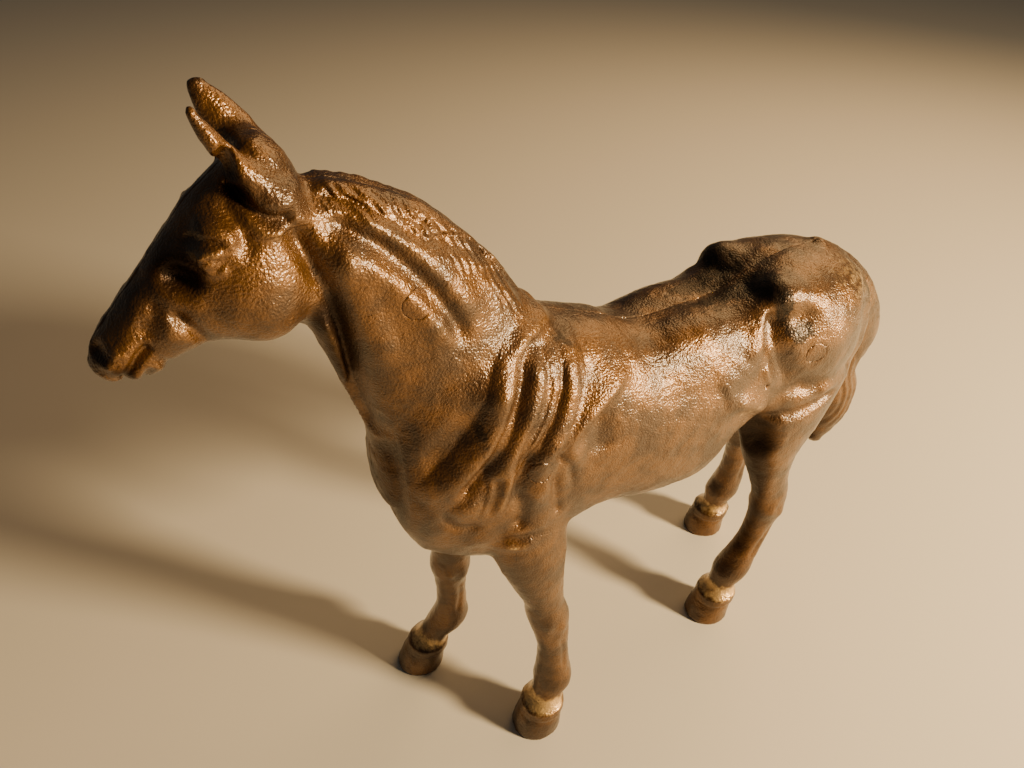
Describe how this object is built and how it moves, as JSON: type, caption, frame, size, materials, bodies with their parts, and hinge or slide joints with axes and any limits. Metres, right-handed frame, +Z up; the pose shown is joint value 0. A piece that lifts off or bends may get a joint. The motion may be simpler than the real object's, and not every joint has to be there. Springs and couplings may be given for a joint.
{
  "type": "horse figurine",
  "caption": "Standing saddle horse cast in iron as two hollow halves that meet on the centre plane and are riveted together, with pricked ears, cropped mane and hanging tail.",
  "frame": {"origin": "on the ground plane, under the middle of the bounding box, on the parting plane between the two halves", "axes": "-X the way the head points, -Y the horse's left side, +Z up"},
  "size_m": [0.3047, 0.072, 0.269],
  "materials": {
    "casting_left": "sand-cast skin under bronze-brown paint, worn to dark iron on the back and haunch",
    "casting_right": "sand-cast skin under bronze-brown paint, worn to dark iron on the back",
    "rivets": "soft iron, heads dressed flush and painted over with the castings"
  },
  "bodies": {
    "root": {"left_half": "casting_left", "right_half": "casting_right", "neck_rivet": "rivets", "shoulder_rivet": "rivets", "rump_rivet": "rivets"}
  },
  "joints": []
}
